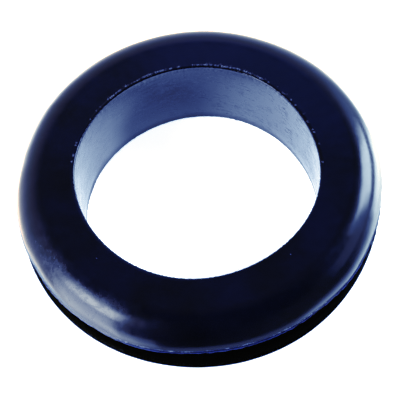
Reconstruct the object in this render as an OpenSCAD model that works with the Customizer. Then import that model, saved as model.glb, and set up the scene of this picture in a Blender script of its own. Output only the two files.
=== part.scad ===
// Round rubber grommet: one moulded ring with two round-shouldered flanges, a groove between
// them that grips the edge of a panel hole, and a plain bore for the cable or pipe.
// It lies on its lower flange. Origin: on the bore's axis, in the plane of the lower face. +Z up.

/* [Bore] */
// Diameter of the bore
bore_d = 25.4; // [8:0.1:60]
// Radius of the rounded edge at each mouth of the bore
bore_edge_r = 0.3; // [0.1:0.05:0.6]

/* [Wall and groove] */
// Thickness of the wall between the bore and the floor of the groove
wall_t = 3.175; // [1.5:0.025:6]
// Width of the groove, the thickest panel that it takes
groove_w = 2.4; // [1.2:0.1:6]
// Radius in the two inner corners of the groove
groove_root_r = 0.4; // [0.1:0.05:0.5]

/* [Flanges] */
// How far each flange stands out past the floor of the groove
flange_reach = 3.175; // [2.4:0.025:8]
// Thickness of each flange, from its outer face to the groove
flange_t = 3.575; // [3.4:0.025:8]
// Radius of the shoulder that rounds the outer face over into the rim
shoulder_r = 3.2; // [0.5:0.1:3.2]

/* [Moulding line] */
// How far the thin fin left by the mould stands out of the rim
fin_h = 0.12; // [0.04:0.02:0.3]
// Thickness of that fin where it meets the rim
fin_t = 0.18; // [0.08:0.02:0.2]

/* [Hidden] */
$fn = 180;
bore_r = bore_d / 2;
groove_r = bore_r + wall_t;
rim_r = groove_r + flange_reach;
total_h = 2 * flange_t + groove_w;
mid_z = total_h / 2;
over = 0.5;

// What a round of radius r takes off a square corner at [0, 0] whose solid lies in +x, +y.
module corner_waste(r) {
    difference() {
        translate([-over, -over]) square([r + over, r + over]);
        translate([r, r]) circle(r);
    }
}

// What a fillet of radius r adds in an inner corner at [0, 0] that opens into +x, +y.
module fillet(r) {
    difference() {
        translate([-over / 2, -over / 2]) square([r + over / 2, r + over / 2]);
        translate([r, r]) circle(r);
    }
}

// The mould's parting fin: a low wedge with a blunt crest, its middle at height z on the rim.
module fin(z) {
    polygon([
        [rim_r - over, z - fin_t / 2],
        [rim_r, z - fin_t / 2],
        [rim_r + fin_h, z - fin_t / 5],
        [rim_r + fin_h, z + fin_t / 5],
        [rim_r, z + fin_t / 2],
        [rim_r - over, z + fin_t / 2]
    ]);
}

// Upper half of the section, from the middle of the groove to the outer face.
// x is the distance from the bore's axis and y is the height above the middle of the groove.
module half_section() {
    difference() {
        union() {
            polygon([
                [bore_r, -over],
                [groove_r, -over],
                [groove_r, groove_w / 2],
                [rim_r, groove_w / 2],
                [rim_r, mid_z],
                [bore_r, mid_z]
            ]);
            translate([groove_r, groove_w / 2]) mirror([0, 1]) fillet(groove_root_r);
            fin(groove_w / 2 + fin_t / 2);
        }
        // the big round shoulder
        translate([rim_r, mid_z]) rotate(180) corner_waste(shoulder_r);
        // the small round at the mouth of the bore
        translate([bore_r, mid_z]) mirror([0, 1]) corner_waste(bore_edge_r);
        // nothing below the middle of the groove
        translate([0, -2 * over]) square([rim_r + 2 * over, 2 * over]);
    }
}

module section() {
    half_section();
    mirror([0, 1]) half_section();
}

// The whole grommet, moulded in one piece.
module grommet() {
    color([0.035, 0.045, 0.105])
        translate([0, 0, mid_z])
            rotate_extrude() section();
}

grommet();
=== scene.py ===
"""Round rubber grommet on a pale studio floor.

One moulded rubber ring: two round-shouldered flanges, a groove between them and a plain bore.
The mesh is a ring swept round the bore's axis from its section, with the parting line's ragged
fin, the bore's trimmed edge and the slight unevenness of moulded rubber in the geometry itself.
The finish is procedural: dark navy rubber, painted blacker under the parting line as painted shade,
with a mottled bloom, a fine moulded grain, and light streaks and scratches round the bore; a chalky
bloom on the left-front shoulder is partly a painted highlight, and the torn parting line's pale blue
line and the pale glints on the nibs and crumbs are painted highlights.
All lengths in this script are in metres unless a name or a comment says millimetres.
"""
import math

import bpy
import numpy as np
from mathutils import Matrix, Vector


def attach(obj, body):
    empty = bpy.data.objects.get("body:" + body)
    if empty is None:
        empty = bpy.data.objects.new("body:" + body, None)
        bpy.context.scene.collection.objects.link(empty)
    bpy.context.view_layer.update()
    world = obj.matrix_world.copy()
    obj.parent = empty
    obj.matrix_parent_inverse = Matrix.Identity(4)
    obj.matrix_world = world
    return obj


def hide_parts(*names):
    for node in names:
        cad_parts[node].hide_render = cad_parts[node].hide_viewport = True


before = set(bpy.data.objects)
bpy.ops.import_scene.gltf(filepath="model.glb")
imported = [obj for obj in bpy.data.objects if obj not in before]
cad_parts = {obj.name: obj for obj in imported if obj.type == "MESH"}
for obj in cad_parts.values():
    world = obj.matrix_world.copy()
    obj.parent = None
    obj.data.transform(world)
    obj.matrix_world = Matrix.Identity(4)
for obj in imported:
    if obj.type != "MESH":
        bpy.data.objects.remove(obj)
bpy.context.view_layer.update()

# ----------------------------------------------------------------------------------------------
# Sizes, as in the part's own source, in millimetres
# ----------------------------------------------------------------------------------------------
BORE_R = 12.7
BORE_EDGE_R = 0.3
GROOVE_R = 15.875
GROOVE_W = 2.4
GROOVE_ROOT_R = 0.4
RIM_R = 19.05
SHOULDER_R = 3.2
TOTAL_H = 9.55
FIN_H = 0.12
FIN_T = 0.18
MID = TOTAL_H / 2
Z_LO = MID - GROOVE_W / 2  # lower flange's groove face
Z_HI = MID + GROOVE_W / 2  # upper flange's groove face

FACE_DROP = 0.03  # the flat faces lie this far inside the highest nibs of the trimmed edges
AROUND = 768  # steps round the ring


# ----------------------------------------------------------------------------------------------
# The section: a closed loop of (radius, height) points, with a zone name for each point
# ----------------------------------------------------------------------------------------------
def line(a, b, n):
    """n points from a towards b, b left out."""
    t = np.arange(n) / n
    return [(a[0] + (b[0] - a[0]) * k, a[1] + (b[1] - a[1]) * k) for k in t]


def arc(centre, r, start, end, n, power=1.0):
    """n points on an arc from start to end in degrees, the end left out. A power below 1 gives it
    a tighter corner."""
    t = np.radians(start + (end - start) * np.arange(n) / n)
    x, y = (np.sign(v) * np.abs(v) ** power for v in (np.cos(t), np.sin(t)))
    return [(centre[0] + r * a, centre[1] + r * b) for a, b in zip(x, y)]


# The parting line on the upper flange: each point's share of the fin's height, its share of the
# ridge's height, its share of the fin's droop, and its height over the groove face
PARTING = [
    (0.00, 0.0, 0.2, 0.000),
    (0.55, 0.0, 0.7, 0.002),
    (0.95, 0.0, 1.0, 0.022),
    (1.00, 0.0, 1.0, 0.060),
    (0.62, 0.0, 0.6, 0.100),
    (0.20, 0.0, 0.2, 0.150),
    (0.00, -0.4, 0.0, 0.210),
    (0.00, -0.5, 0.0, 0.280),
    (0.00, 0.2, 0.0, 0.340),
    (0.00, 1.0, 0.0, 0.385),
    (0.00, 0.9, 0.0, 0.415),
    (0.00, 0.2, 0.0, 0.455),
]
SHOULDER_START = 2.2  # degrees: where the upper shoulder takes over from the parting line

ZONES = [
    ("under", line((BORE_R + BORE_EDGE_R, 0), (RIM_R - SHOULDER_R, 0), 6)),
    ("low_shoulder", arc((RIM_R - SHOULDER_R, SHOULDER_R), SHOULDER_R, -90, 0, 14)),
    ("low_rim", line((RIM_R, SHOULDER_R), (RIM_R, Z_LO - FIN_T), 2)),
    ("low_fin", arc((RIM_R, Z_LO - FIN_T / 2), FIN_T / 2, -90, 90, 6)),
    ("low_face", line((RIM_R, Z_LO), (GROOVE_R + GROOVE_ROOT_R, Z_LO), 4)),
    ("root", arc((GROOVE_R + GROOVE_ROOT_R, Z_LO + GROOVE_ROOT_R), GROOVE_ROOT_R, -90, -180, 3)),
    ("root", line((GROOVE_R, Z_LO + GROOVE_ROOT_R), (GROOVE_R, Z_HI - GROOVE_ROOT_R), 4)),
    ("root", arc((GROOVE_R + GROOVE_ROOT_R, Z_HI - GROOVE_ROOT_R), GROOVE_ROOT_R, 180, 90, 3)),
    ("high_face", line((GROOVE_R + GROOVE_ROOT_R, Z_HI), (RIM_R, Z_HI), 4)),
    ("parting", [(RIM_R, Z_HI + p[3]) for p in PARTING]),
    ("high_shoulder", arc((RIM_R - SHOULDER_R, TOTAL_H - SHOULDER_R), SHOULDER_R, SHOULDER_START, 90, 30)),
    ("top", line((RIM_R - SHOULDER_R, TOTAL_H), (BORE_R + BORE_EDGE_R + 0.45, TOTAL_H), 8)),
    ("top_lip", line((BORE_R + BORE_EDGE_R + 0.45, TOTAL_H), (BORE_R + BORE_EDGE_R, TOTAL_H), 9)),
    ("bore_top_edge", arc((BORE_R + BORE_EDGE_R, TOTAL_H - BORE_EDGE_R), BORE_EDGE_R, 90, 180, 7, 0.6)),
    ("bore", line((BORE_R, TOTAL_H - BORE_EDGE_R), (BORE_R, BORE_EDGE_R), 13)),
    ("bore_low_edge", [(BORE_R, 0.30), (BORE_R, 0.22), (BORE_R, 0.16), (BORE_R, 0.08), (BORE_R + 0.12, 0.0)]),
]
LOW_LIP = [0.15, 1.0, 0.95, 0.55, 0.0]  # each lower-edge point's share of the torn lip's reach
section = np.array([p for _, pts in ZONES for p in pts])
zone = np.array([name for name, pts in ZONES for _ in pts])
LOOP = len(section)

step_len = np.linalg.norm(np.roll(section, -1, 0) - section, axis=1)
along = np.concatenate([[0], np.cumsum(step_len)])  # length along the section, in mm
tangent = np.roll(section, -1, 0) - np.roll(section, 1, 0)
tangent /= np.linalg.norm(tangent, axis=1)[:, None]
outward = np.stack([tangent[:, 1], -tangent[:, 0]], 1)  # the loop runs anticlockwise


# ----------------------------------------------------------------------------------------------
# Unevenness: sums of waves that close on themselves round the ring
# ----------------------------------------------------------------------------------------------
phi = np.arange(AROUND) * 2 * math.pi / AROUND  # 0 = +X, 90 degrees = +Y (away from the camera)
deg = np.degrees(phi)


def waves(seed, low, high, count, per_mm=0.0):
    """Smooth unevenness of about -1 to 1 on the (round, along) grid. low and high bound the waves
    round the ring, and per_mm bounds the waves along the section, in radians a millimetre."""
    rng = np.random.default_rng(seed)
    n = rng.integers(low, high + 1, count)
    k = rng.uniform(-per_mm, per_mm, count)
    p = rng.uniform(0, 2 * math.pi, count)
    a = rng.uniform(0.5, 1.0, count)
    a /= math.sqrt((a**2).sum() / 2)
    s = along[:-1]
    total = np.zeros((AROUND, LOOP))
    for ni, ki, pi, ai in zip(n, k, p, a):
        total += ai * np.cos(ni * phi[:, None] + ki * s[None, :] + pi)
    return total / 1.6


def ring_noise(seed, low, high, count):
    """The same, round the ring only."""
    return waves(seed, low, high, count)[:, 0]


def is_in(*names):
    return np.isin(zone, names).astype(float)


def away(a):
    """Degrees from each step of the ring to the angle a, -180 to 180."""
    return (deg - a + 180) % 360 - 180


def stretch(start, end, soft):
    """1 between two angles in degrees, anticlockwise, and 0 elsewhere, with soft ends."""
    half = ((end - start) % 360) / 2
    t = np.clip((half + soft - np.abs(away(start + half))) / soft, 0, 1)
    return t * t * (3 - 2 * t)


def nibs(seed, count, density, width, height):
    """A row of small nibs round the ring, 0 to 1, thicker on the ground where density is high."""
    rng = np.random.default_rng(seed)
    weight = density / density.sum()
    total = np.zeros(AROUND)
    places = rng.choice(AROUND, count, p=weight)
    for k in places:
        w = rng.uniform(*width)
        h = rng.uniform(*height)
        total = np.maximum(total, h * np.exp(-((away(deg[k] + rng.uniform(-0.2, 0.2)) / w) ** 2)))
    return total


def harmonics(coefficients):
    """Out-of-round round the ring in mm: the mean, then cosine and sine for each wave count."""
    total = np.full(AROUND, float(coefficients[0]))
    for k in range(1, len(coefficients) // 2 + 1):
        total += coefficients[2 * k - 1] * np.cos(k * phi) + coefficients[2 * k] * np.sin(k * phi)
    return total


push = np.zeros((AROUND, LOOP))  # mm along the section's own normal
push += 0.012 * waves(11, 2, 7, 14, 0.35) * is_in("low_shoulder", "low_rim", "high_shoulder", "top", "top_lip")
push += 0.0035 * waves(12, 18, 60, 40, 2.2) * is_in("low_shoulder", "high_shoulder", "low_rim")
push += 0.0015 * waves(13, 20, 70, 40, 2.6) * is_in("top", "top_lip", "under")
push += 0.008 * waves(14, 2, 9, 14, 0.5) * is_in("bore")
push += 0.0016 * waves(15, 14, 60, 40, 3.0) * is_in("bore")
push -= FACE_DROP * is_in("top", "top_lip")
# the shoulder is a little fuller behind
tilt = np.degrees(np.arctan2(section[:, 1] - (TOTAL_H - SHOULDER_R), section[:, 0] - (RIM_R - SHOULDER_R)))
fuller = is_in("high_shoulder") * np.sin(np.pi * np.clip(tilt / 80, 0, 1)) ** 1.5
push += 0.09 * stretch(85, 140, 30)[:, None] * fuller

r = np.broadcast_to(section[:, 0], (AROUND, LOOP)).copy()
z = np.broadcast_to(section[:, 1], (AROUND, LOOP)).copy()
r += push * outward[:, 0]
z += push * outward[:, 1]

# The last of the shoulder eases down to the dropped face, and the bore's edge up from it
shoulder_top = np.clip((section[:, 0] - (RIM_R - SHOULDER_R)) / 1.2, 0, 1)
z -= FACE_DROP * (1 - shoulder_top) ** 2 * is_in("high_shoulder")
z -= FACE_DROP * is_in("bore_top_edge") * np.clip((section[:, 1] - (TOTAL_H - BORE_EDGE_R)) / BORE_EDGE_R, 0, 1)

# A moulded rubber ring is never quite round
ring_out = harmonics([0.10, -0.054, 0.075, -0.028, 0.055, 0.03, 0, 0.008, 0.10, 0.017, -0.004])
ring_out = np.where(ring_out > 0, 0.1 * np.tanh(ring_out / 0.1), ring_out)  # it stays inside the fin's reach
bore_out = harmonics([-0.15, -0.012, 0.005, -0.037, -0.06, -0.01, -0.025, 0.013, -0.07, -0.004, -0.014])
share = np.clip((section[:, 0] - BORE_R) / (RIM_R - BORE_R), 0, 1) ** 1.5
r += ring_out[:, None] * share + bore_out[:, None] * (1 - share)
# the upper flange is drawn in a little at the left front, where its fin was torn away, and at the
# front
pulled = -0.16 * stretch(205, 229, 12) - 0.22 * stretch(271, 300, 20)
r += pulled[:, None] * share * is_in("high_face", "high_shoulder") * np.clip(4 * (section[:, 0] - GROOVE_R) / 3 - 0.96, 0, 1)

# The fin that the mould's parting line leaves at each flange's groove edge. On the upper flange
# it is torn off along the left, stands full at the front, and leaves a tab on the right.
ragged = 0.72 + 0.16 * ring_noise(21, 5, 20, 12) + 0.2 * ring_noise(22, 40, 170, 40)
ragged *= 0.22 + 0.78 * np.clip(stretch(209, 343, 2.0) + stretch(350.5, 355, 0.9), 0, 1)
ragged = np.clip(ragged, 0.04, 1.0)
ridge = 0.6 + 0.3 * ring_noise(27, 6, 26, 14) + 0.35 * ring_noise(28, 40, 160, 40)
ridge = 0.05 * np.clip(ridge, 0.0, 1.0) * (0.25 + 0.75 * stretch(238, 335, 12))
ragged_low = np.clip(0.25 + 0.15 * ring_noise(23, 4, 16, 10) + 0.2 * ring_noise(24, 40, 150, 30), 0.08, 1.0)
# crumbs left on the ridge along the front, and on the tab; the material paints pale glints on them
crumb = nibs(41, 40, 0.01 + stretch(243, 300, 8) + 0.6 * stretch(351, 354, 1), (0.25, 0.8), (0.3, 1.0))
droop = 0.03 * ring_noise(25, 5, 24, 14) + 0.012 * ring_noise(26, 50, 160, 30)
for k, (fin_share, ridge_share, droop_share, height) in zip(np.flatnonzero(zone == "parting"), PARTING):
    r[:, k] = RIM_R + ring_out + pulled + ragged * FIN_H * fin_share + ridge * ridge_share
    r[:, k] += 0.04 * crumb * max(ridge_share, 0)
    z[:, k] = Z_HI + height + droop * droop_share
low_fin = zone == "low_fin"
bulge = np.clip((section[low_fin, 0] - RIM_R) / (FIN_T / 2), 0, 1) ** 0.6
r[:, low_fin] = RIM_R + ring_out[:, None] + ragged_low[:, None] * FIN_H * bulge[None, :]

# The bore's upper edge, where the moulding's web was torn away: a broken row of tiny nibs along
# a scar just outside the edge, and a second, fainter one
crowd = 1.0 * stretch(96, 128, 6) + 1.2 * stretch(54, 84, 5) + 0.1 * stretch(-5, 52, 8)
crowd += 0.12 * stretch(128, 170, 8)
nib = nibs(31, 150, crowd, (0.18, 0.36), (0.15, 1.0))
nib_2 = nibs(32, 24, stretch(28, 80, 10) + 0.5 * stretch(100, 130, 10), (0.18, 0.3), (0.1, 0.3))
scar = 13.04 + 0.045 * ring_noise(33, 6, 40, 20)
scar_2 = 13.22 + 0.03 * ring_noise(34, 6, 30, 20)
lip = zone == "top_lip"
radius = section[:, 0][None, :]
row = np.exp(-(((radius - scar[:, None]) / 0.055) ** 2))
row_2 = np.exp(-(((radius - scar_2[:, None]) / 0.05) ** 2))
z += (FACE_DROP + 0.004) * nib[:, None] * row * is_in("top_lip", "bore_top_edge")
z += 0.016 * nib_2[:, None] * row_2 * is_in("top_lip")
edge_zone = is_in("bore_top_edge")
r += 0.02 * (ring_noise(35, 60, 230, 60)[:, None]) * edge_zone * np.sin(np.pi * np.clip((TOTAL_H - section[:, 1]) / BORE_EDGE_R, 0, 1))
# the lower edge was trimmed as well, and a thin ragged lip was left on it
lip_reach = np.clip(0.085 + 0.022 * ring_noise(36, 24, 150, 50) + 0.015 * ring_noise(38, 6, 20, 12), 0.02, 0.14)
lip_reach *= 1 - 0.5 * stretch(-10, 40, 14) - 0.5 * stretch(170, 200, 12)
lip_rise = 0.02 * ring_noise(37, 10, 150, 50)
flare = 0.06 * np.clip((1.5 - section[:, 1]) / 1.5, 0, 1) * is_in("bore", "bore_low_edge")
r += flare * (1 + stretch(-10, 40, 14) + 0.6 * stretch(170, 200, 12))[:, None]
for k, share_of_lip in zip(np.flatnonzero(zone == "bore_low_edge"), LOW_LIP):
    r[:, k] -= lip_reach * share_of_lip
    z[:, k] += lip_rise * share_of_lip

r = np.minimum(r, RIM_R + FIN_H)
z = np.clip(z, 0.0, TOTAL_H)

verts = np.stack(
    [r * np.cos(phi)[:, None], r * np.sin(phi)[:, None], z], -1
).reshape(-1, 3) * 0.001
i = np.arange(AROUND)[:, None]
j = np.arange(LOOP)[None, :]
i2, j2 = (i + 1) % AROUND, (j + 1) % LOOP
quads = np.stack(
    [i * LOOP + j, i2 * LOOP + j, i2 * LOOP + j2, i * LOOP + j2], -1
).reshape(-1, 4)
mesh = bpy.data.meshes.new("grommet_ring")
mesh.from_pydata(verts.tolist(), [], quads.tolist())
uv = mesh.uv_layers.new(name="OFBake")
u0 = np.broadcast_to(i / AROUND, (AROUND, LOOP))
u1 = np.broadcast_to((i + 1) / AROUND, (AROUND, LOOP))
v0 = np.broadcast_to(along[:-1][None, :] / along[-1], (AROUND, LOOP))
v1 = np.broadcast_to(along[1:][None, :] / along[-1], (AROUND, LOOP))
corners = np.stack([np.stack([u0, v0], -1), np.stack([u1, v0], -1), np.stack([u1, v1], -1), np.stack([u0, v1], -1)], 2)
uv.data.foreach_set("uv", (corners.reshape(-1, 2) * 0.998 + 0.001).ravel())
mesh.polygons.foreach_set("use_smooth", [True] * len(mesh.polygons))


def mark(name, values):
    """A number for each point of the mesh, which the material reads."""
    layer = mesh.attributes.new(name, "FLOAT", "POINT")
    layer.data.foreach_set("value", np.broadcast_to(values, (AROUND, LOOP)).astype(np.float32).ravel())


fin_marks = np.zeros((AROUND, LOOP))
for k, (fin_share, ridge_share, _, _) in zip(np.flatnonzero(zone == "parting"), PARTING):
    fin_marks[:, k] = np.clip(ragged * fin_share ** 2 + ridge / 0.05 * max(ridge_share, 0) ** 2 * 0.6, 0, 1)
mark("torn_fin", fin_marks)
# painted glints: the nibs and the crumbs get a pale colour in the material in place of their reflections
glint_marks = nib[:, None] * row * is_in("top_lip", "bore_top_edge") + 0.5 * nib_2[:, None] * row_2 * is_in("top_lip")
for k, (_, ridge_share, _, _) in zip(np.flatnonzero(zone == "parting"), PARTING):
    glint_marks[:, k] = crumb * (ridge_share > 0)
mark("nibs", np.clip(glint_marks, 0, 1))
mark("bore_wall", is_in("bore"))
# the underside, the groove and the lower flange: the material paints these near black as painted shade
mark("underside", np.where((section[:, 1] < Z_HI + 0.01) & (section[:, 0] > BORE_R + 0.31), 1.0, 0.0))
mesh.update()
mesh.validate()
ring = bpy.data.objects.new("grommet_ring", mesh)
bpy.context.scene.collection.objects.link(ring)
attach(ring, "root")
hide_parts("grommet")


# ----------------------------------------------------------------------------------------------
# Materials
# ----------------------------------------------------------------------------------------------
def material(name):
    m = bpy.data.materials.new(name)
    m.use_nodes = True
    tree = m.node_tree
    tree.nodes.clear()
    return m, tree


class Nodes:
    """A few helpers that add nodes to a tree and return their outputs."""

    def __init__(self, tree):
        self.tree = tree

    def put(self, node, index, value):
        if isinstance(value, (int, float, tuple)):
            node.inputs[index].default_value = value
        else:
            self.tree.links.new(value, node.inputs[index])

    def math(self, operation, *values, clamp=False):
        node = self.tree.nodes.new("ShaderNodeMath")
        node.operation = operation
        node.use_clamp = clamp
        for k, v in enumerate(values):
            self.put(node, k, v)
        return node.outputs[0]

    def smooth(self, value, start, end, low=0.0, high=1.0):
        """low below start, high above end, smoothly between; start may be above end."""
        node = self.tree.nodes.new("ShaderNodeMapRange")
        node.interpolation_type = "SMOOTHSTEP"
        if start > end:
            start, end, low, high = end, start, high, low
        for k, v in zip((0, 1, 2, 3, 4), (value, start, end, low, high)):
            self.put(node, k, v)
        return node.outputs[0]

    def add(self, first, *rest):
        for v in rest:
            first = self.math("ADD", first, v)
        return first

    def times(self, first, *rest):
        for v in rest:
            first = self.math("MULTIPLY", first, v)
        return first

    def position(self):
        """The object's own coordinates in millimetres, and their x, y and z."""
        coords = self.tree.nodes.new("ShaderNodeTexCoord")
        scaled = self.tree.nodes.new("ShaderNodeVectorMath")
        scaled.operation = "SCALE"
        self.tree.links.new(coords.outputs["Object"], scaled.inputs[0])
        scaled.inputs["Scale"].default_value = 1000.0
        split = self.tree.nodes.new("ShaderNodeSeparateXYZ")
        self.tree.links.new(scaled.outputs[0], split.inputs[0])
        return (scaled.outputs[0], *split.outputs)

    def vector(self, x, y, z):
        node = self.tree.nodes.new("ShaderNodeCombineXYZ")
        for k, v in enumerate((x, y, z)):
            self.put(node, k, v)
        return node.outputs[0]

    def noise(self, vector, scale, detail=2.0, rough=0.5, offset=0.0):
        """Smooth noise of about 0.2 to 0.8 with scale cells a millimetre."""
        if offset:
            moved = self.tree.nodes.new("ShaderNodeVectorMath")
            moved.operation = "ADD"
            self.tree.links.new(vector, moved.inputs[0])
            moved.inputs[1].default_value = (offset, offset * 0.37, offset * 0.71)
            vector = moved.outputs[0]
        node = self.tree.nodes.new("ShaderNodeTexNoise")
        self.tree.links.new(vector, node.inputs["Vector"])
        node.inputs["Scale"].default_value = scale
        node.inputs["Detail"].default_value = detail
        node.inputs["Roughness"].default_value = rough
        return node.outputs["Fac"]

    def mark(self, name):
        node = self.tree.nodes.new("ShaderNodeAttribute")
        node.attribute_name = name
        return node.outputs["Fac"]

    def mix(self, factor, a, b):
        node = self.tree.nodes.new("ShaderNodeMix")
        node.data_type = "RGBA"
        self.put(node, 0, factor)
        for k, v in ((6, a), (7, b)):
            self.put(node, k, v)
        return node.outputs[2]


def specks(m, vector, scale, size, rarity, offset=0.0):
    """Small round specks: 1 inside a few of the cells of a cellular field, 0 elsewhere."""
    node = m.tree.nodes.new("ShaderNodeTexVoronoi")
    moved = m.tree.nodes.new("ShaderNodeVectorMath")
    moved.operation = "ADD"
    m.tree.links.new(vector, moved.inputs[0])
    moved.inputs[1].default_value = (offset, offset * 0.7, offset * 0.3)
    m.tree.links.new(moved.outputs[0], node.inputs["Vector"])
    node.inputs["Scale"].default_value = scale
    pick = m.tree.nodes.new("ShaderNodeSeparateColor")
    m.tree.links.new(node.outputs["Color"], pick.inputs[0])
    chosen = m.smooth(pick.outputs[0], rarity, rarity + 0.02)
    reach = m.math("MULTIPLY", pick.outputs[1], size * scale)
    near = m.math("SUBTRACT", m.math("ADD", reach, size * scale * 0.35), node.outputs["Distance"])
    return m.times(chosen, m.smooth(near, 0.0, size * scale * 0.3))


rubber, tree = material("moulded_rubber")
M = Nodes(tree)
out_node = tree.nodes.new("ShaderNodeOutputMaterial")
shader = tree.nodes.new("ShaderNodeBsdfPrincipled")
tree.links.new(shader.outputs[0], out_node.inputs[0])
shader.inputs["IOR"].default_value = 1.5

at, px, py, pz = M.position()
reach = M.math("SQRT", M.add(M.times(px, px), M.times(py, py)))
wall, underside_painted_shade, torn, painted_glints = M.mark("bore_wall"), M.mark("underside"), M.mark("torn_fin"), M.mark("nibs")
shoulder = M.times(M.smooth(reach, 15.6, 16.8), M.math("SUBTRACT", 1.0, underside_painted_shade))

# fields of noise, in cells a millimetre
cloud = M.noise(at, 0.16, 3.0, 0.55)
patch = M.noise(at, 0.55, 3.0, 0.6, 11.0)
mottle = M.noise(at, 2.3, 3.0, 0.62, 23.0)
grain = M.noise(at, 6.5, 2.0, 0.55, 41.0)
# marks round the bore: coordinates squeezed along the axis, so that they run round it
round_bore = M.vector(px, py, M.times(pz, 7.0))
streak = M.noise(round_bore, 0.5, 3.0, 0.6, 7.0)
slanted = M.vector(px, py, M.times(M.add(pz, M.times(px, 0.10)), 9.0))
scratch_field = M.noise(slanted, 1.15, 1.0, 0.5, 57.0)
scratch_place = M.smooth(patch, 0.42, 0.58)
facing = M.math("DIVIDE", M.add(M.times(px, math.cos(math.radians(50))), M.times(py, math.sin(math.radians(50)))), reach)
scratch_side = M.smooth(facing, 0.55, 0.9, 0.12, 1.0)
scratch = M.times(M.smooth(scratch_field, 0.61, 0.67), scratch_place, scratch_side, wall)

# colour: navy with slow changes, painted shade that makes it blacker under the parting line, and a painted highlight
# that makes the torn fin a paler blue line
navy = M.mix(M.smooth(cloud, 0.32, 0.68), (0.0014, 0.0019, 0.0050, 1), (0.0020, 0.0028, 0.0084, 1))
bloom = M.times(M.smooth(patch, 0.44, 0.66), M.smooth(mottle, 0.40, 0.62))
bloom = M.times(bloom, M.add(M.times(shoulder, 0.04), M.times(wall, 0.4), 0.01))
# a rubbed, chalky patch on the shoulder at the left front, with pale specks in it, placed where the left-front
# highlight falls: partly real bloom, partly a painted highlight that whitens and mottles it
front_left = M.math("DIVIDE", M.add(M.times(px, math.cos(math.radians(219))), M.times(py, math.sin(math.radians(219)))), reach)
chalk_highlight_place = M.times(M.smooth(front_left, 0.86, 0.985), M.smooth(reach, 15.9, 17.3), M.math("SUBTRACT", 1.0, underside_painted_shade))
chalk_highlight = M.times(chalk_highlight_place, M.smooth(M.add(M.times(mottle, 0.7), patch), 0.62, 1.1))
chalk_highlight_specks = M.times(chalk_highlight_place, M.math("MAXIMUM", specks(M, at, 2.1, 0.045, 0.86, 5.0), specks(M, at, 1.4, 0.055, 0.90, 9.0)))
colour = M.mix(M.times(bloom, 0.22), navy, (0.045, 0.052, 0.085, 1))
colour = M.mix(M.times(chalk_highlight, 0.6), colour, (0.027, 0.028, 0.037, 1))
colour = M.mix(M.times(chalk_highlight_specks, 0.7), colour, (0.18, 0.18, 0.19, 1))
# painted shade: the underside, the groove and the lower flange lie in shade and are painted near black
colour = M.mix(underside_painted_shade, colour, (0.0022, 0.0024, 0.0030, 1))
# the torn fin is rougher rubber, and its paler blue colour is a painted highlight along the parting line
torn_fin_highlight = M.times(torn, M.smooth(grain, 0.30, 0.62, 0.25, 1.0))
colour = M.mix(M.times(torn_fin_highlight, 0.8), colour, (0.07, 0.12, 0.40, 1))
# painted glints: a pale colour on the nibs and crumbs in place of their reflections
colour = M.mix(M.times(painted_glints, M.smooth(grain, 0.35, 0.6), 0.75), colour, (0.60, 0.62, 0.72, 1))
colour = M.mix(M.times(scratch, 0.6), colour, (0.0025, 0.0028, 0.006, 1))
dust = specks(M, at, 0.9, 0.05, 0.90, 3.0)
dust = M.times(dust, M.math("SUBTRACT", 1.0, underside_painted_shade))
colour = M.mix(M.times(dust, 0.6), colour, (0.10, 0.11, 0.16, 1))
tree.links.new(colour, shader.inputs["Base Color"])

# gloss: a little duller where the bloom lies, and uneven at the scale of the mottling
gloss = M.add(
    0.165,
    M.times(M.smooth(mottle, 0.34, 0.66), M.smooth(patch, 0.3, 0.7, 0.4, 1.0), M.math("SUBTRACT", 1.0, underside_painted_shade), 0.055),
    M.times(chalk_highlight, 0.10),
    M.times(M.smooth(cloud, 0.3, 0.7), 0.03),
    M.times(wall, 0.03),
    M.times(wall, M.smooth(streak, 0.35, 0.65), 0.05),
    M.times(torn, 0.12),
    M.times(underside_painted_shade, -0.045),
    M.times(M.math("MAXIMUM", dust, scratch), 0.25),
)
tree.links.new(gloss, shader.inputs["Roughness"])

# relief, in micrometres: moulded grain, low mottling, pits, streaks and scratches round the bore
pits = specks(M, at, 1.3, 0.045, 0.86, 19.0)
relief = M.add(
    M.times(grain, M.add(M.times(chalk_highlight_place, 3.6), 1.1)),
    M.times(mottle, M.add(M.times(chalk_highlight_place, 2.2), 2.0)),
    M.times(patch, 2.0),
    M.times(pits, -4.0),
    M.times(dust, 5.0),
    M.times(streak, wall, 3.0),
    M.times(scratch, -24.0),
    M.times(grain, torn, 9.0),
)
bump = tree.nodes.new("ShaderNodeBump")
bump.inputs["Strength"].default_value = 1.0
bump.inputs["Distance"].default_value = 1e-6
tree.links.new(relief, bump.inputs["Height"])
tree.links.new(bump.outputs[0], shader.inputs["Normal"])
mesh.materials.append(rubber)

# ----------------------------------------------------------------------------------------------
# Stage: a pale floor
# ----------------------------------------------------------------------------------------------
floor_mesh = bpy.data.meshes.new("floor")
S = 3.0
floor_mesh.from_pydata([(-S, -S, 0), (S, -S, 0), (S, S, 0), (-S, S, 0)], [], [(0, 1, 2, 3)])
floor = bpy.data.objects.new("floor", floor_mesh)
floor.location.z = -0.00002
bpy.context.scene.collection.objects.link(floor)
paper, tree = material("pale_floor")
f_out = tree.nodes.new("ShaderNodeOutputMaterial")
f_bsdf = tree.nodes.new("ShaderNodeBsdfPrincipled")
f_bsdf.inputs["Base Color"].default_value = (0.86, 0.87, 0.88, 1)
f_bsdf.inputs["Roughness"].default_value = 0.9
f_bsdf.inputs["Specular IOR Level"].default_value = 0.2
f_bsdf.inputs["Emission Color"].default_value = (1, 1, 1, 1)
f_bsdf.inputs["Emission Strength"].default_value = 0.95
tree.links.new(f_bsdf.outputs[0], f_out.inputs[0])
paper.cycles.emission_sampling = "NONE"
floor_mesh.materials.append(paper)
floor.visible_glossy = False

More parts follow.
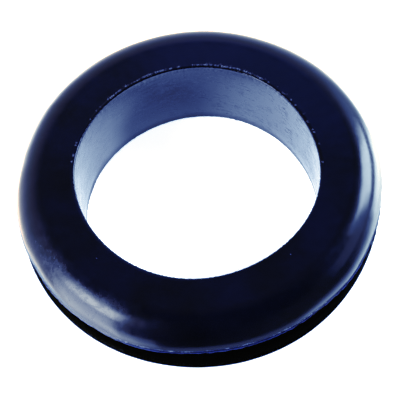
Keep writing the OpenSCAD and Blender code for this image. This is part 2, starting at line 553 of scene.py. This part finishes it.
# ----------------------------------------------------------------------------------------------
# Light: a soft studio surround of large soft boxes and dark flags, an overhead lamp for the
# floor, and a pale card under the ring that only the rubber reflects
# ----------------------------------------------------------------------------------------------
scene = bpy.context.scene
TARGET = Vector((0, 0, 0.005))

# azimuth: 0 towards the camera's side (-Y), 90 towards +X; all angles in degrees
# name, azimuth, half width, softness, then from below: softness, lowest and highest elevation,
# softness; and the brightness
SURROUND = [
    ("left_key", -66, 9, 10, 7, 17, 36, 9, 13.0),
    ("left_card", -67, 10, 10, 38, -18, 6, 7, 6.4),
    ("left_rim", -148, 6, 14, 8, -40, -14, 16, 2.3),
    ("left_low", -76, 18, 24, 20, -70, -44, 22, 1.4),
    ("left_edge", -86, 4, 11, 10, -12, 32, 12, 0.15),
    ("left_front_low", -46, 5, 12, 8, -46, -22, 8, 1.6),
    ("right_key", 115, 9, 8, 7, 13, 37, 8, 12.5),
    ("right_key_back", 134, 4, 11, 8, 14, 32, 10, 0.45),
    ("right_rim", 140, 3, 10, 9, -36, -24, 8, 1.9),
    ("right_card", 114, 9, 11, 34, -13, -9, 5, 7.4),
    ("right_tail", 84, 10, 16, 8, 10, 30, 12, 0.4),
    ("right_front", 80, 12, 22, 10, -64, -52, 32, 1.1),
    ("right_fill", 66, 20, 40, 30, -30, 10, 30, 0.05),
    ("front_low", 22, 40, 32, 10, -74, -48, 14, 0.34),
]
# The backdrop glows near the floor, and fades upwards to a third every FADE degrees
BACKDROP, FADE = 1.0, 27.0
# A dim blue card high at the back gives the flat face its tint
BLUE_CARD = (172, 3, 13, 36, 53, 8, (0.05, 0.09, 0.19))

world = bpy.data.worlds.new("studio")
scene.world = world
world.use_nodes = True
tree = world.node_tree
tree.nodes.clear()
W = Nodes(tree)
w_out = tree.nodes.new("ShaderNodeOutputWorld")
w_bg = tree.nodes.new("ShaderNodeBackground")
tree.links.new(w_bg.outputs[0], w_out.inputs[0])
coords = tree.nodes.new("ShaderNodeTexCoord")
split = tree.nodes.new("ShaderNodeSeparateXYZ")
tree.links.new(coords.outputs["Generated"], split.inputs[0])
dx, dy, dz = split.outputs
flat = W.math("MAXIMUM", W.math("SQRT", W.math("SUBTRACT", 1.0, W.math("MULTIPLY", dz, dz), clamp=True)), 1e-4)
height = W.math("MULTIPLY", W.math("ARCSINE", dz), 180 / math.pi)


def facing_azimuth(az):
    """The cosine of the angle, seen from above, between a direction and an azimuth."""
    c = math.radians(az)
    return W.math("DIVIDE", W.add(W.times(dx, math.sin(c)), W.times(dy, -math.cos(c))), flat)


boxes = None
for _, az, half, soft, low_soft, low, high, high_soft, bright in SURROUND:
    part = W.smooth(facing_azimuth(az), math.cos(math.radians(half + soft)), math.cos(math.radians(half)))
    part = W.times(part, W.smooth(height, low - low_soft, low), W.smooth(height, high + high_soft, high), bright)
    boxes = part if boxes is None else W.math("ADD", boxes, part)
fade = W.math("EXPONENT", W.math("MULTIPLY", W.math("MAXIMUM", height, -32.0), -1.0 / FADE))
backdrop = W.times(fade, W.smooth(height, -62, -42, 0.4, 1.0), W.smooth(height, 60, 36, 0.4, 1.0), BACKDROP)
backdrop = W.times(backdrop, W.smooth(facing_azimuth(180), -0.35, 0.55), W.smooth(facing_azimuth(-110), -0.6, 0.6, 0.9, 1.22))
# the backdrop is warmer on the left, except low down, where it also has a dim, cool patch
lower = W.smooth(height, -44, -56)
warm = W.add(1.0, W.times(W.smooth(facing_azimuth(-110), -0.6, 0.6, 0.0, 0.27), W.smooth(lower, 1.0, 0.0)))
cool = W.smooth(facing_azimuth(-110), -0.6, 0.6, 0.85, 0.66)
cool = W.add(cool, W.times(W.math("SUBTRACT", 0.92, cool), lower))
low_left = W.times(W.smooth(height, -44, -54), W.smooth(facing_azimuth(-132), 0.5, 0.85))
warm = W.times(warm, W.math("SUBTRACT", 1.0, W.times(low_left, 0.64)))
even = W.math("SUBTRACT", 1.0, W.times(low_left, 0.55))
cool = W.times(cool, W.math("SUBTRACT", 1.0, W.times(low_left, 0.40)))
# and so are the boxes at the left front
box_warm = W.smooth(facing_azimuth(-66), 0.7, 0.97, 1.0, 1.14)
box_cool = W.smooth(facing_azimuth(-66), 0.7, 0.97, 0.92, 0.80)
az, half, soft, low, high, el_soft, tint = BLUE_CARD
blue = W.smooth(facing_azimuth(az), math.cos(math.radians(half + soft)), math.cos(math.radians(half)))
blue = W.times(blue, W.smooth(height, low - el_soft, low), W.smooth(height, high + el_soft, high))
colour = W.vector(
    W.add(W.times(boxes, box_warm), W.times(backdrop, warm), W.times(blue, tint[0])),
    W.add(boxes, W.times(backdrop, even), W.times(blue, tint[1])),
    W.add(W.times(boxes, box_cool), W.times(backdrop, cool), W.times(blue, tint[2])),
)
path = tree.nodes.new("ShaderNodeLightPath")
tree.links.new(W.mix(path.outputs["Is Camera Ray"], colour, (1, 1, 1, 1)), w_bg.inputs[0])


def direction(azimuth, elevation):
    a, e = math.radians(azimuth), math.radians(elevation)
    return Vector((math.sin(a) * math.cos(e), -math.cos(a) * math.cos(e), math.sin(e)))


def panel(name, azimuth, elevation, width, depth, power, distance=0.6):
    data = bpy.data.lights.new(name, "AREA")
    data.shape = "RECTANGLE"
    data.size, data.size_y = width, depth
    data.energy = power
    lamp = bpy.data.objects.new(name, data)
    d = direction(azimuth, elevation)
    lamp.location = TARGET + d * distance
    lamp.rotation_mode = "QUATERNION"
    lamp.rotation_quaternion = d.to_track_quat("Z", "Y")
    scene.collection.objects.link(lamp)
    return lamp


top_lamp = panel("top_softbox", 150, 80, 0.5, 0.4, 0.15)
top_lamp.visible_glossy = False

# the card under the bore; its edge is hidden under the ring
CARD_R = 0.0155
disc_mesh = bpy.data.meshes.new("bore_card")
ring_pts = [(CARD_R * math.cos(k * math.pi / 32), CARD_R * math.sin(k * math.pi / 32), 0) for k in range(64)]
disc_mesh.from_pydata(ring_pts, [], [tuple(range(64))])
disc = bpy.data.objects.new("bore_card", disc_mesh)
disc.location.z = 0.00001
scene.collection.objects.link(disc)
for flag in ("visible_camera", "visible_diffuse", "visible_shadow", "visible_transmission"):
    setattr(disc, flag, False)
card, tree = material("bore_card")
D = Nodes(tree)
d_out = tree.nodes.new("ShaderNodeOutputMaterial")
d_em = tree.nodes.new("ShaderNodeEmission")
tree.links.new(d_em.outputs[0], d_out.inputs[0])
_, cx, cy, _ = D.position()
from_axis = D.math("MAXIMUM", D.math("SQRT", D.add(D.times(cx, cx), D.times(cy, cy))), 0.01)


# The wall is a mirror that curls round the card. For each point of the card, turn is the angle
# from the back (+Y, anticlockwise) of the stretch of wall that shows it to a viewer in front and
# above: a first guess, and one correction by the slope there.
swing = D.math("ARCTAN2", D.times(cx, -1.0), cy)
guess = D.math("DIVIDE", D.times(swing, from_axis), D.math("MAXIMUM", D.add(D.times(from_axis, 2.0), -BORE_R), 2.5))
guess = D.math("MINIMUM", D.math("MAXIMUM", guess, -1.5), 1.5)
twice = D.add(D.times(guess, 2.0), D.times(swing, -1.0))
miss = D.add(D.times(from_axis, D.math("SINE", twice)), D.times(D.math("SINE", guess), -BORE_R))
slope = D.add(D.times(from_axis, D.math("COSINE", twice), 2.0), D.times(D.math("COSINE", guess), -BORE_R))
step_back = D.math("DIVIDE", miss, D.math("MAXIMUM", slope, 2.5))
turn = D.times(D.math("SUBTRACT", guess, step_back), 180 / math.pi)

turn = D.times(turn, D.smooth(from_axis, 6.0, 9.5, 0.55, 1.0), D.smooth(from_axis, 9.5, 12.0, 1.0, 1.12))

# even all round, with a dark gap behind that fades slowly to the left and faster to the right
dip = D.times(D.smooth(turn, 58, 36), D.smooth(turn, -38, 0))
level = D.math("SUBTRACT", 2.38, D.times(dip, D.smooth(from_axis, 8.6, 11.8, 1.99, 1.56)))
# black close to the wall behind, which darkens the wall's foot
foot = D.times(D.smooth(from_axis, 12.22, 12.36), D.smooth(turn, 74, 58), D.smooth(turn, -74, -58))
level = D.times(level, D.math("SUBTRACT", 1.0, foot))
tree.links.new(level, d_em.inputs[1])
card.cycles.emission_sampling = "NONE"
disc_mesh.materials.append(card)

# a shallow black tray on the floor round the front, which keeps the lower flange dark; it fades
# out towards its ends
TRAY = ((0.0156, 0.0), (0.0196, 0.0), (0.0196, 0.0039))  # radius and height
flag_mesh = bpy.data.meshes.new("black_flag")
flag_verts, flag_faces = [], []
for k in range(81):
    a = math.radians(-130 + 260 * k / 80)
    for radius_m, height_m in TRAY:
        flag_verts.append((radius_m * math.sin(a), -radius_m * math.cos(a), height_m))
    if k:
        for side in (0, 1):
            at_k = 3 * k + side
            flag_faces.append((at_k - 3, at_k - 2, at_k + 1, at_k))
flag_mesh.from_pydata(flag_verts, [], flag_faces)
flag = bpy.data.objects.new("black_flag", flag_mesh)
flag.location.z = 0.00001
scene.collection.objects.link(flag)
for setting in ("visible_camera", "visible_diffuse", "visible_shadow", "visible_transmission"):
    setattr(flag, setting, False)
velvet, tree = material("black_velvet")
v_out = tree.nodes.new("ShaderNodeOutputMaterial")
v_em = tree.nodes.new("ShaderNodeEmission")
v_em.inputs[0].default_value = (0, 0, 0, 1)
V = Nodes(tree)
_, vx, vy, _ = V.position()
forward = V.math("DIVIDE", V.times(vy, -1.0), V.math("SQRT", V.add(V.times(vx, vx), V.times(vy, vy))))
v_clear = tree.nodes.new("ShaderNodeBsdfTransparent")
v_mix = tree.nodes.new("ShaderNodeMixShader")
tree.links.new(V.smooth(forward, -0.6, 0.25), v_mix.inputs[0])
tree.links.new(v_clear.outputs[0], v_mix.inputs[1])
tree.links.new(v_em.outputs[0], v_mix.inputs[2])
tree.links.new(v_mix.outputs[0], v_out.inputs[0])
flag_mesh.materials.append(velvet)


# ----------------------------------------------------------------------------------------------
# Camera: the photograph's view
# ----------------------------------------------------------------------------------------------
ELEVATION, ROLL = math.radians(59.73), math.radians(-7.07)
LENS_PX = 1144.4  # focal length in pixels of a 400-pixel frame
DISTANCE = 9.486 * BORE_R * 0.001
AIM = Vector((0.0001, -0.0968, 0)) * BORE_R * 0.001 + Vector((0, 0, MID * 0.001))
back = Vector((0, -math.cos(ELEVATION), math.sin(ELEVATION)))
right = Vector((1, 0, 0))
up = back.cross(right)
cam_x = math.cos(ROLL) * right + math.sin(ROLL) * up
cam_y = -math.sin(ROLL) * right + math.cos(ROLL) * up
pixel = DISTANCE / LENS_PX
cam_data = bpy.data.cameras.new("camera")
cam_data.sensor_width = 36
cam_data.lens = 36 * LENS_PX / 400
cam_data.clip_start, cam_data.clip_end = 0.005, 20
camera = bpy.data.objects.new("camera", cam_data)
place = AIM + back * DISTANCE - cam_x * 0.5 * pixel + cam_y * 0.5 * pixel
camera.matrix_world = Matrix.Translation(place) @ Matrix((cam_x, cam_y, back)).transposed().to_4x4()
scene.collection.objects.link(camera)
scene.camera = camera

scene.view_settings.view_transform = "Standard"
# A contrasty, cool print: dark rubber goes navy, its mid-tones blue and its highlights pale.
# Each pair is the scene's brightness and what the display shows for it, both linear.
view = scene.view_settings
view.use_curve_mapping = True
RED = [(0.004, 0.0033), (0.009, 0.0052), (0.025, 0.0152), (0.055, 0.0285), (0.095, 0.0545), (0.175, 0.1144),
       (0.31, 0.2232), (0.5, 0.3968), (0.8, 0.70)]
GREEN = [(0.004, 0.0038), (0.009, 0.0072), (0.025, 0.0212), (0.055, 0.0490), (0.095, 0.0908), (0.175, 0.1779),
         (0.31, 0.3140), (0.5, 0.5149), (0.8, 0.80)]
BLUE = [(0.0038, 0.0035), (0.0083, 0.0152), (0.0125, 0.032), (0.0285, 0.083), (0.057, 0.173), (0.098, 0.242),
        (0.178, 0.347), (0.31, 0.4793), (0.5, 0.6654), (0.8, 0.90)]
for channel, curve in enumerate(list(view.curve_mapping.curves)[:3]):
    points = curve.points
    points[0].location, points[-1].location = (0, 0), (1, 1)
    for level, shown in (RED, GREEN, BLUE)[channel]:
        points.new(level, shown)
view.curve_mapping.update()
